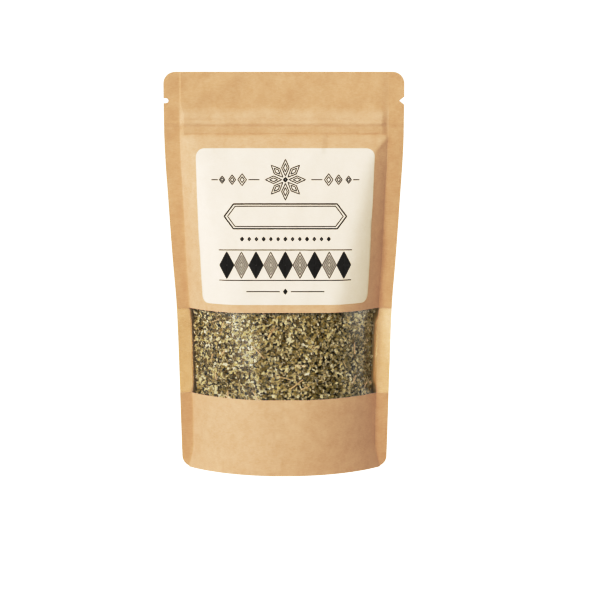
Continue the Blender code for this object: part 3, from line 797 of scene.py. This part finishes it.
ink, tree, output, place = new_material("black_ink")
finish_material(tree, output, {
    "Base Color": (0.022, 0.018, 0.014, 1.0),
    "Roughness": remap(tree, noise(tree, place, 900.0), 0.3, 0.7, 0.5, 0.7),
    "Specular IOR Level": 0.3,
})
stroke_tree, stroke_inputs = make_stroke_tree()
for name, lines, stroke in (
    ("label_print_fine", fine, FINE_STROKE),
    ("label_print_bold", bold, BOLD_STROKE),
):
    points, edges = [], []
    for corners, closed in lines:
        line = refined(corners, closed)
        first = len(points)
        points += [(x / 1000, z / 1000, 0.0) for x, z in line]
        edges += [(first + k, first + k + 1) for k in range(len(line) - 1)]
        if closed:
            edges.append((len(points) - 1, first))
    drawing = bpy.data.meshes.new(name)
    drawing.from_pydata(points, edges, [])
    values = {"Stroke": stroke, "Ink": INK_THICKNESS, "Material": ink}
    printed = plain_mesh(new_object(name, drawing), stroke_tree, stroke_inputs, name, values)
    flat = mesh_points(printed)
    distance = LABEL_LAYER[1] + INK_GAP + INK_THICKNESS / 2 + flat[:, 2]
    placed = on_label(LABEL_OFFSET + flat[:, 0], LABEL_MIDDLE + flat[:, 1], distance)
    printed.data.vertices.foreach_set("co", placed.ravel())
    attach(printed, "root")


# ---------------------------------------------------------------- gusset
# The bottom sheet, of the same kraft laminate as the panels. It is folded up between them and
# sealed to their lower edges, and the fill opens it out to a flat oval foot.

gusset_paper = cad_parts["bottom_gusset"].data.materials
gusset_paper.clear()
gusset_paper.append(kraft_material("gusset_kraft", KRAFT_LIGHT, KRAFT_DARK, 0.5, 0.5))


# ---------------------------------------------------------------- zip
# The press-to-close zip: two extruded plastic strips sealed to the inner sides of the panels, one
# with a channel and one with a rib that snaps into it. The pouch is closed.

ZIP_HALF_LENGTH = span("zip_track_back", X)[1]
ZIP_MIDDLE = 0.1906
STRIP_THICKNESS = 0.00022
STRIP_GAP = 0.00003  # between a strip and its panel
PROFILE_HALF_HEIGHT = 0.0011
# Outlines of the channel and the rib: depth from the seam plane, and height from the zip's middle
CHANNEL = (
    (0.00115, 0.00110), (-0.00035, 0.00110), (-0.00035, 0.00050), (-0.00005, 0.00050),
    (-0.00005, 0.00085), (0.00165, 0.00085), (0.00165, -0.00085), (-0.00005, -0.00085),
    (-0.00005, -0.00050), (-0.00035, -0.00050), (-0.00035, -0.00110), (0.00110, -0.00110),
)
RIB = (
    (0.00115, 0.00025), (-0.00015, 0.00025), (-0.00025, 0.00060), (-0.00095, 0.00035),
    (-0.00120, 0.00000), (-0.00095, -0.00035), (-0.00025, -0.00060), (-0.00015, -0.00025),
    (0.00110, -0.00025),
)


def make_zip_tree():
    """Sweep a closed outline along a straight path across the pouch."""
    tree, identifiers, given = new_shape_tree("zip_strip", (
        ("Geometry", "NodeSocketGeometry"),
        ("Half Length", "NodeSocketFloat"),
        ("Material", "NodeSocketMaterial"),
    ))
    right = given["Half Length"]
    left = maths(tree, "MULTIPLY", right, -1.0)
    start, end = (add_node(tree, "ShaderNodeCombineXYZ", {0: x}).outputs[0] for x in (left, right))
    line = add_node(tree, "GeometryNodeCurvePrimitiveLine", {"Start": start, "End": end})
    path = add_node(tree, "GeometryNodeResampleCurve", {"Curve": line.outputs[0], "Count": 41})
    outline = add_node(tree, "GeometryNodeMeshToCurve", {"Mesh": given["Geometry"]})
    inputs = {"Curve": path.outputs[0], "Profile Curve": outline.outputs[0], "Fill Caps": True}
    swept = add_node(tree, "GeometryNodeCurveToMesh", inputs)
    finish_shape_tree(tree, swept.outputs[0], given["Material"])
    return tree, identifiers


def outline_object(name, outline):
    """A closed outline of (y, z) points, laid out as the sweep takes it."""
    mesh = bpy.data.meshes.new(name)
    points = [(-y, -z, 0.0) for y, z in outline]
    mesh.from_pydata(points, [(k, (k + 1) % len(points)) for k in range(len(points))], [])
    return new_object(name, mesh)


def strip_outline(side, profile):
    """A strip that follows the relief of its panel, with a profile on its inner face."""
    heights, relief = ZIP_RELIEF[(ZIP_RELIEF[:, 0] > CREASE) & (ZIP_RELIEF[:, 0] < ZIP_TOP)].T
    outer = [(side * (depth - STRIP_GAP), z) for depth, z in zip(relief, heights)]
    inner = [(side * (depth - STRIP_GAP - STRIP_THICKNESS), z) for depth, z in zip(relief, heights)]
    below = [point for point in inner if point[1] < ZIP_MIDDLE - PROFILE_HALF_HEIGHT]
    above = [point for point in inner if point[1] > ZIP_MIDDLE + PROFILE_HALF_HEIGHT]
    return outer + above[::-1] + [(side * y, ZIP_MIDDLE + z) for y, z in profile] + below[::-1]


zip_plastic, tree, output, place = new_material("zip_plastic")
finish_material(tree, output, {
    "Base Color": (0.82, 0.81, 0.78, 1.0),
    "Roughness": remap(tree, noise(tree, place, 700.0), 0.3, 0.7, 0.28, 0.42),
})
zip_tree, zip_inputs = make_zip_tree()
for name, node, side, profile in (
    ("zip_channel", "zip_track_front", -1, CHANNEL),
    ("zip_rib", "zip_track_back", 1, RIB),
):
    carrier = outline_object(name, strip_outline(side, profile))
    values = {"Half Length": ZIP_HALF_LENGTH, "Material": zip_plastic}
    strip = plain_mesh(carrier, zip_tree, zip_inputs, name, values)
    points = mesh_points(strip)
    x, z = points[:, 0], points[:, 2]
    crushed = np.minimum(half_gap(x, z) / np.interp(z, *ZIP_RELIEF.T), 1.0)  # flat towards the seals
    points[:, 1] = points[:, 1] * crushed - seam_depth(x, z)
    strip.data.vertices.foreach_set("co", points.ravel())
    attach(strip, "root")
    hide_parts(node)


# ---------------------------------------------------------------- herb
# Rubbed dried marjoram: a settled mass of curled leaf crumbs a few millimetres long, with a few
# broken stems. The mass is a core painted dark, as painted shade deep in the herb, and the crumbs
# that show through the window lie on it.

FILL_HEIGHT = 0.1400
HERB_EDGE = 0.0029  # how far the herb stays from the seals' inner lines
HERB_RAGGED = 0.0011  # how unevenly its crumbs end there
RAGGED_WAVES = ((1900, 0), (5300, 1), (830, 2))  # pace up the pouch, and start, of each wave of it
CORE_DEPTH = 0.0030  # how far the core lies behind the film
FILM_TOUCH = 0.00012  # how close the crumbs press against the film
TOP_RECESS = 0.0012  # how much farther back they lie under the window's upper edge
RECESS_HEIGHT = 0.0022
BACK_TOUCH = 0.0002  # how close they come to the back panel
LEAST_DEPTH = 0.0002  # how far the core's front stays before the seam plane
BED_MARGIN = 0.006  # how far the crumbs reach behind the papers, below and above the window
MOST_TUCKED = 0.0050  # farthest that a crumb is moved in from a seal
CRUMB_CORNERS = 24  # vertices of one crumb
# Foot of the core: its height in the middle, and how much higher it ends beside the seals
FOOT_HEIGHT = 0.006
FOOT_RISE = 0.032
# the core's colour is painted shade: far darker than the herb, for the shadow between and behind the crumbs
CORE_PAINTED_SHADE = (0.05, 0.03, 0.008)


def core_front(x, z):
    """Depth of the core's front, some way behind the film."""
    return -np.maximum(layer(x, z, -CORE_DEPTH), LEAST_DEPTH)


def leaf_material(name, tones):
    """Dried plant: each crumb takes its own tint from the tones, and has faint veins."""
    material, tree, output, place = new_material(name)
    ramp = tree.nodes.new("ShaderNodeValToRGB")
    while len(ramp.color_ramp.elements) < len(tones):
        ramp.color_ramp.elements.new(0.5)
    for element, (position, colour) in zip(ramp.color_ramp.elements, tones):
        element.position = position
        element.color = (*colour, 1.0)
    tree.links.new(mark(tree, "tint"), ramp.inputs[0])
    veins = remap(tree, noise(tree, place, 1400.0, 3.0, 0.6), 0.3, 0.7, 0.72, 1.18)
    inputs = {0: ramp.outputs[0], "Scale": veins}
    finish_material(tree, output, {
        "Base Color": add_node(tree, "ShaderNodeVectorMath", inputs, operation="SCALE").outputs[0],
        "Roughness": 0.85,
        "Normal": bumps(tree, 0.5, 0.0003, noise(tree, place, 2600.0, 3.0)),
        "Specular IOR Level": 0.05,
    })
    return material


leaf = leaf_material("dried_leaf", (
    (0.00, (0.16, 0.085, 0.004)),
    (0.25, (0.42, 0.325, 0.105)),
    (0.60, (0.69, 0.59, 0.335)),
    (0.88, (0.78, 0.70, 0.49)),
    (1.00, (0.84, 0.775, 0.62)),
))
# painted shade: darker tones of the same leaf for the fine crumbs that lie deep in the herb, for the shade
# down among the crumbs
shade_painted_leaf = leaf_material("shaded_leaf", (
    (0.00, (0.12, 0.06, 0.002)),
    (0.50, (0.34, 0.24, 0.04)),
    (1.00, (0.66, 0.54, 0.28)),
))


def make_crumb_tree():
    """Scatter curled, ragged slabs over a bed, in a layer of some thickness above it."""
    tree, identifiers, given = new_shape_tree("crumbs", (
        ("Geometry", "NodeSocketGeometry"),
        ("Density", "NodeSocketFloat"),
        ("Lowest", "NodeSocketFloat"),
        ("Highest", "NodeSocketFloat"),
        ("Length", "NodeSocketFloat"),
        ("Width", "NodeSocketFloat"),
        ("Thickness", "NodeSocketFloat"),
        ("Tilt", "NodeSocketFloat"),
        ("Seed", "NodeSocketInt"),
        ("Material", "NodeSocketMaterial"),
    ))

    def random(kind, low, high, offset):
        """A random value or vector for each point, from the tree's seed and an offset to it."""
        low_socket, high_socket, result = {"FLOAT": (2, 3, 1), "FLOAT_VECTOR": (0, 1, 0)}[kind]
        seed = maths(tree, "ADD", given["Seed"], float(offset))
        inputs = {low_socket: low, high_socket: high, "Seed": seed}
        return add_node(tree, "FunctionNodeRandomValue", inputs, data_type=kind).outputs[result]

    def triple(*parts):
        return add_node(tree, "ShaderNodeCombineXYZ", dict(enumerate(parts))).outputs[0]

    def moved(shape, offset):
        inputs = {"Geometry": shape, "Offset": offset}
        return add_node(tree, "GeometryNodeSetPosition", inputs).outputs[0]

    def times(first, second, share):
        """The product of two places on a slab, and of a share."""
        return maths(tree, "MULTIPLY", maths(tree, "MULTIPLY", first, second), share)

    # the places: random points on the bed, lifted by a random height
    inputs = {"Mesh": given["Geometry"], "Density": given["Density"], "Seed": given["Seed"]}
    scatter = add_node(tree, "GeometryNodeDistributePointsOnFaces", inputs)
    rise = random("FLOAT", given["Lowest"], given["Highest"], 1)
    inputs = {0: scatter.outputs["Normal"], "Scale": rise}
    lift = add_node(tree, "ShaderNodeVectorMath", inputs, operation="SCALE")
    lifted = moved(scatter.outputs["Points"], lift.outputs[0])

    # the crumbs: slabs of unit size, each curled, cupped, twisted and torn in its own way
    variants = tree.nodes.new("GeometryNodeGeometryToInstance")
    for variant in range(8):
        inputs = {"Size": (1.0, 1.0, 0.12), "Vertices X": 4, "Vertices Y": 3}
        slab = add_node(tree, "GeometryNodeMeshCube", inputs)
        place = tree.nodes.new("GeometryNodeInputPosition").outputs[0]
        x, y, _ = add_node(tree, "ShaderNodeSeparateXYZ", {0: place}).outputs
        curl = times(x, x, -0.9 + 0.36 * variant)
        cup = times(y, y, 0.8 - 0.3 * (variant % 4))
        twist = times(x, y, 0.5 - 0.2 * variant)
        bent = maths(tree, "ADD", maths(tree, "ADD", curl, cup), twist)
        inputs = {"Vector": place, "W": 3.7 * variant, "Scale": 1.7, "Detail": 1.0}
        ragged = add_node(tree, "ShaderNodeTexNoise", inputs, noise_dimensions="4D")
        shake = vector_maths(tree, "SUBTRACT", ragged.outputs["Color"], (0.5, 0.5, 0.5))
        shake = vector_maths(tree, "MULTIPLY", shake, (1.1, 1.1, 0.3))
        offset = vector_maths(tree, "ADD", shake, triple(0.0, 0.0, bent))
        tree.links.new(moved(slab.outputs["Mesh"], offset), variants.inputs[0])

    # each place takes one of them, turned about and tilted, with its own size and tint
    tilt = maths(tree, "MULTIPLY", given["Tilt"], -1.0)
    low, high = triple(tilt, tilt, 0.0), triple(given["Tilt"], given["Tilt"], 2 * math.pi)
    turn = add_node(tree, "FunctionNodeEulerToRotation", {0: random("FLOAT_VECTOR", low, high, 2)})
    inputs = {"Rotation": scatter.outputs["Rotation"], "Rotate By": turn.outputs[0]}
    aligned = add_node(tree, "FunctionNodeRotateRotation", inputs, rotation_space="LOCAL")
    size = triple(given["Length"], given["Width"], given["Thickness"])
    spread = random("FLOAT_VECTOR", (0.55, 0.55, 0.6), (1.45, 1.45, 1.4), 3)
    placed = add_node(tree, "GeometryNodeInstanceOnPoints", {
        "Points": lifted,
        "Instance": variants.outputs[0],
        "Pick Instance": True,
        "Rotation": aligned.outputs[0],
        "Scale": vector_maths(tree, "MULTIPLY", size, spread),
    })
    tinted = add_node(tree, "GeometryNodeStoreNamedAttribute", {
        "Geometry": placed.outputs[0],
        "Name": "tint",
        "Value": random("FLOAT", 0.0, 1.0, 4),
    }, data_type="FLOAT", domain="INSTANCE")
    finish_shape_tree(tree, tinted.outputs[0], given["Material"])
    return tree, identifiers


crumb_tree, crumb_inputs = make_crumb_tree()


def scatter_crumbs(name, values):
    """Run the crumb tree over the bed, and keep the crumbs behind the film as a plain mesh."""
    columns = np.linspace(-1, 1, 61)
    bed_z = steps(WINDOW_BOTTOM - BED_MARGIN, WINDOW_TOP + BED_MARGIN, 0.002)[:, None] + 0 * columns
    bed_x = (half_chord(bed_z) - HERB_EDGE) * columns
    points = grid_points(bed_x, bed_z, core_front(bed_x, bed_z)).reshape(-1, 3)
    quads = grid_faces(*bed_x.shape)[1]
    bed = bpy.data.meshes.new("crumb_bed")
    bed.from_pydata(points.tolist(), [], quads.tolist())
    made = plain_mesh(new_object("crumb_bed", bed), crumb_tree, crumb_inputs, name, values)
    crumbs = mesh_points(made).reshape(-1, CRUMB_CORNERS, 3)
    x, z = crumbs[:, :, 0], crumbs[:, :, 2]
    level = z.mean(1)
    ragged = HERB_RAGGED * sum(np.sin(level * pace + start) for pace, start in RAGGED_WAVES) / 2
    past = (np.abs(x) - half_chord(z)).max(1) + HERB_EDGE / 2 + ragged
    side = np.sign(x[:, :1])
    x -= side * np.clip(past, 0.0, MOST_TUCKED)[:, None]
    held = FILM_TOUCH + TOP_RECESS * smooth_step((z.max(1) - WINDOW_TOP) / RECESS_HEIGHT + 1)[:, None]
    crumbs[:, :, 1] += np.clip(-layer(x, z, -held) - crumbs[:, :, 1], 0.0, None).max(1)[:, None]
    crumbs[:, :, 1] = np.minimum(crumbs[:, :, 1], layer(x, z, -BACK_TOUCH)) - seam_depth(x, z)
    made.data.vertices.foreach_set("co", crumbs.ravel())
    return made


stem = leaf_material("dried_stem", (
    (0.00, (0.55, 0.46, 0.22)),
    (0.50, (0.74, 0.56, 0.36)),
    (1.00, (0.86, 0.72, 0.52)),
))
# For each kind: its number per square metre, its lowest and highest place over the core as shares
# of the core's depth, and its length, width, thickness, tilt and seed
for name, dress, density, lowest, highest, length, width, thickness, tilt, seed in (
    ("leaf_crumbs", leaf, 640000.0, 0.4, 1.0, 0.0017, 0.0012, 0.0011, 0.5, 4),
    ("stems", stem, 6500.0, 1.0, 1.3, 0.0062, 0.0008, 0.0012, 0.1, 3),
    ("fine_crumbs", shade_painted_leaf, 600000.0, 0.1, 0.6, 0.0012, 0.0010, 0.0010, 1.2, 9),
):
    crumbs = scatter_crumbs(name, {
        "Density": density,
        "Lowest": lowest * CORE_DEPTH,
        "Highest": highest * CORE_DEPTH,
        "Length": length,
        "Width": width,
        "Thickness": thickness,
        "Tilt": tilt,
        "Seed": seed,
        "Material": dress,
    })
    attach(crumbs, "root")

# the core, painted dark as the shade deep in the herb: a closed body from the core's front to the back panel
across = np.linspace(-1, 1, 49)
foot = FOOT_HEIGHT + FOOT_RISE * np.abs(across) ** 3
core_z = foot + (FILL_HEIGHT - foot) * np.linspace(0, 1, 61)[:, None]
core_x = (half_chord(core_z) - HERB_EDGE) * across
core_shift = seam_depth(core_x, core_z)
front = grid_points(core_x, core_z, core_front(core_x, core_z) - core_shift)
back = grid_points(core_x, core_z, layer(core_x, core_z, -2 * BACK_TOUCH) - core_shift)
core = closed_sheet("herb_core", front, back)
core.data.materials.append(leaf_material("core_leaf", ((0.0, CORE_PAINTED_SHADE), (1.0, CORE_PAINTED_SHADE))))
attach(core, "root")
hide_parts("dried_marjoram")


# ---------------------------------------------------------------- studio
# A white table that runs out of view, in a white room. One large soft light stands at the upper
# left, and three dim cards beside the pouch are there only to be mirrored by its film.

CAMERA_PLACE = (0.0087, -1.0, 0.225)
CAMERA_DOWN = 7.5  # degrees below level
CAMERA_LENS = 110.0  # millimetres
TABLE_REACH = 6.0
TABLE_BOUNCE = (0.75, 0.74, 0.72)
# Soft lights: place, width, height, power in watts, colour, and whether it lights dull surfaces
# or is only mirrored by the film
SOFTBOXES = (
    ("key", (-0.76, -0.94, 0.66), 0.5, 0.7, 9.3, (1.0, 1.02, 1.12), True),
    ("left_card", (-0.259, -0.395, 0.030), 0.42, 0.18, 2.1, (0.98, 1.0, 1.0), False),
    ("left_side_card", (-0.392, -0.073, 0.02), 0.19, 0.14, 0.20, (1.0, 1.0, 1.0), False),
    ("right_side_card", (0.40, -0.05, 0.03), 0.34, 0.10, 0.60, (1.0, 1.0, 1.0), False),
)
# Heights on the pouch's middle line that they are turned to
KEY_AIM = 0.1
CARD_AIM = 0.06
ROOM = (1.0, 0.985, 0.89)
ROOM_STRENGTH = 0.72
MIRRORED_STRENGTH = 0.08  # the dim room that glossy surfaces mirror
SEEN_ROOM = (1.0, 1.0, 1.0)  # the plain white behind the pouch
SEEN_STRENGTH = 1.3

table = bpy.data.meshes.new("table")
corners = [(TABLE_REACH * x, TABLE_REACH * y, 0.0) for x, y in ((-1, -1), (1, -1), (1, 1), (-1, 1))]
table.from_pydata(corners, [], [(0, 1, 2, 3)])
table_top = new_object("table_top", table)
# The table is seen as plain white, and throws back only a little light.
material, tree, output, place = new_material("white_table")
lit = add_node(tree, "ShaderNodeBsdfDiffuse", {"Color": (*TABLE_BOUNCE, 1.0)})
white = add_node(tree, "ShaderNodeBsdfPrincipled", {
    "Base Color": (0.9, 0.9, 0.9, 1.0),
    "Roughness": 0.9,
    "Emission Color": (1.0, 1.0, 1.0, 1.0),
    "Emission Strength": 0.8,
})
seen = tree.nodes.new("ShaderNodeLightPath").outputs["Is Camera Ray"]
either = add_node(tree, "ShaderNodeMixShader", {0: seen, 1: lit.outputs[0], 2: white.outputs[0]})
tree.links.new(either.outputs[0], output.inputs["Surface"])
table.materials.append(material)
table_top.visible_glossy = False

camera_data = bpy.data.cameras.new("camera")
camera_data.lens = CAMERA_LENS
camera_data.sensor_width = 36.0
camera_data.clip_end = 50.0
camera = new_object("camera", camera_data)
camera.location = CAMERA_PLACE
camera.rotation_euler = (math.radians(90 - CAMERA_DOWN), 0.0, 0.0)
bpy.context.scene.camera = camera

for name, place, width, height, power, colour, lights in SOFTBOXES:
    lamp = bpy.data.lights.new(name, "AREA")
    lamp.shape = "RECTANGLE"
    lamp.size = width
    lamp.size_y = height
    lamp.energy = power
    lamp.color = colour
    softbox = new_object(name, lamp)
    softbox.visible_diffuse = lights
    softbox.visible_camera = False
    softbox.location = place
    aim = np.subtract((0.0, 0.0, KEY_AIM if lights else CARD_AIM), place)
    down, turn = math.acos(-aim[2] / np.linalg.norm(aim)), math.atan2(aim[1], aim[0]) - math.pi / 2
    softbox.rotation_euler = (down, 0.0, turn)

world = bpy.data.worlds.new("room")
bpy.context.scene.world = world
world.use_nodes = True
tree = world.node_tree
tree.nodes.clear()
room, mirrored, seen = (
    add_node(tree, "ShaderNodeBackground", {"Color": (*colour, 1.0), "Strength": strength}).outputs[0]
    for colour, strength in (
        (ROOM, ROOM_STRENGTH),
        (ROOM, MIRRORED_STRENGTH),
        (SEEN_ROOM, SEEN_STRENGTH),
    )
)
path = tree.nodes.new("ShaderNodeLightPath").outputs
around = add_node(tree, "ShaderNodeMixShader", {0: path["Is Glossy Ray"], 1: room, 2: mirrored})
either = add_node(tree, "ShaderNodeMixShader", {0: path["Is Camera Ray"], 1: around.outputs[0], 2: seen})
output = tree.nodes.new("ShaderNodeOutputWorld")
tree.links.new(either.outputs[0], output.inputs["Surface"])

# The tones of what is shown: a little more contrast, with soft highlights
TONE_CURVE = (
    (0.00, 0.00), (0.05, 0.022), (0.10, 0.046), (0.159, 0.08), (0.271, 0.16), (0.353, 0.25),
    (0.425, 0.35), (0.531, 0.50), (0.65, 0.65), (0.80, 0.80), (1.10, 1.00),
)
view = bpy.context.scene.view_settings
view.view_transform = "Standard"
view.use_curve_mapping = True
view.curve_mapping.clip_max_x = 1.5
view.curve_mapping.clip_max_y = 1.5
combined = view.curve_mapping.curves[3]
combined.points[0].location = TONE_CURVE[0]
combined.points[-1].location = TONE_CURVE[-1]
for bright, shown in TONE_CURVE[1:-1]:
    combined.points.new(bright, shown)
view.curve_mapping.update()
